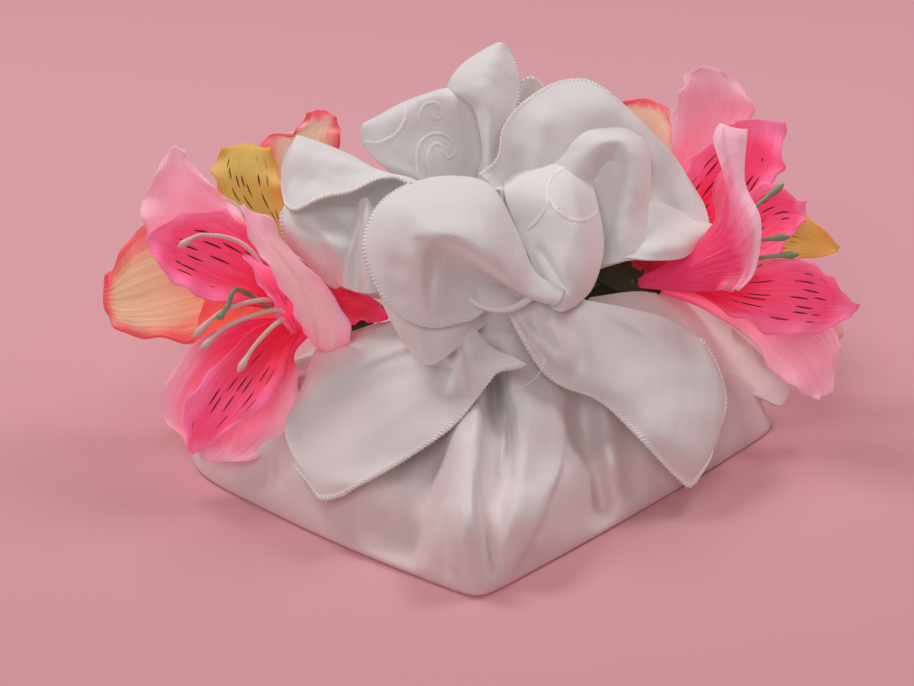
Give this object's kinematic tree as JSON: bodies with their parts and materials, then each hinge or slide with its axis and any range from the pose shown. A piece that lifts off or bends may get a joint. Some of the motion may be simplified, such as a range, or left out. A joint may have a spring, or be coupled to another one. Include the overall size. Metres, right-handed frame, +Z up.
{
  "type": "furoshiki wrap",
  "caption": "Soft white crepe cloth drawn over a low square parcel and tied on top, with silk flowers tucked under the knot on both sides.",
  "frame": {"origin": "on the surface that the parcel stands on, under the middle of the parcel", "axes": "+Z up; -Y towards the front corner of the parcel, where the drawn-up folds are; +X towards the parcel's right corner"},
  "size_m": [0.2466, 0.1904, 0.1202],
  "materials": {
    "cloth": "white crepe with a fine pebbled weave and a soft bloom, overlocked edge",
    "pink_petals": "printed silk-flower cloth, pale pink to rose, faint veins",
    "deep_pink_petals": "printed silk-flower cloth, hot pink deepening to red at the heart",
    "coral_petals": "printed silk-flower cloth, cream to coral edges",
    "golden_petals": "printed silk-flower cloth, yellow to orange with brown streaks",
    "stamens": "soft moulded plastic, pale pink with darker tips",
    "stems": "wrapped wire stem, dull green"
  },
  "bodies": {
    "root": {"furoshiki_cloth": "cloth", "left_front_outer_petals": "pink_petals", "left_front_inner_petals": "deep_pink_petals", "left_front_stamens": "stamens", "left_front_stem": "stems", "left_back_outer_petals": "coral_petals", "left_back_inner_petals": "golden_petals", "left_back_stamens": "stamens", "left_back_stem": "stems", "right_front_outer_petals": "pink_petals", "right_front_inner_petals": "deep_pink_petals", "right_front_stamens": "stamens", "right_front_stem": "stems", "right_back_outer_petals": "coral_petals", "right_back_inner_petals": "golden_petals", "right_back_stamens": "stamens", "right_back_stem": "stems"}
  },
  "joints": []
}
